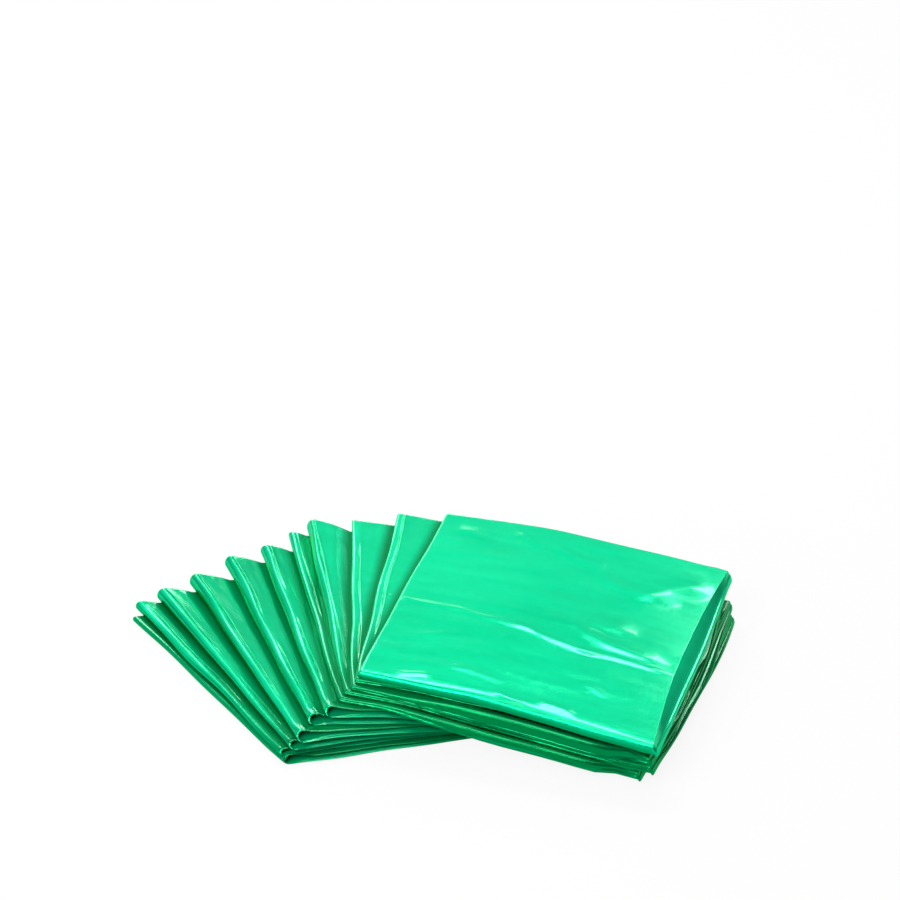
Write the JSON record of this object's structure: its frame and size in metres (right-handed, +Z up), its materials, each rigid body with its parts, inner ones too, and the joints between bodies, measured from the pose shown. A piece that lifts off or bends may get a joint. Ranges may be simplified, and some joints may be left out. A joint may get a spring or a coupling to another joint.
{
  "type": "folded bin bag stack",
  "caption": "Stack of flat-folded bin bags of glossy green film, fanned out by their folds about one corner, with rounded folds, open fold ends and a square top bag.",
  "frame": {"origin": "centre of the overall footprint, on the underside of the bottom bag", "axes": "+X along the front edge of the top bag, away from the fan; +Y from the front edges to the back; +Z up"},
  "size_m": [0.5614, 0.3568, 0.0718],
  "materials": {
    "film": "glossy, slightly see-through green polyethylene film with soft creases"
  },
  "bodies": {
    "root": {"folded_bag_01": "film", "folded_bag_02": "film", "folded_bag_03": "film", "folded_bag_04": "film", "folded_bag_05": "film", "folded_bag_06": "film", "folded_bag_07": "film", "folded_bag_08": "film", "folded_bag_09": "film", "folded_bag_10": "film", "folded_bag_11": "film"}
  },
  "joints": []
}
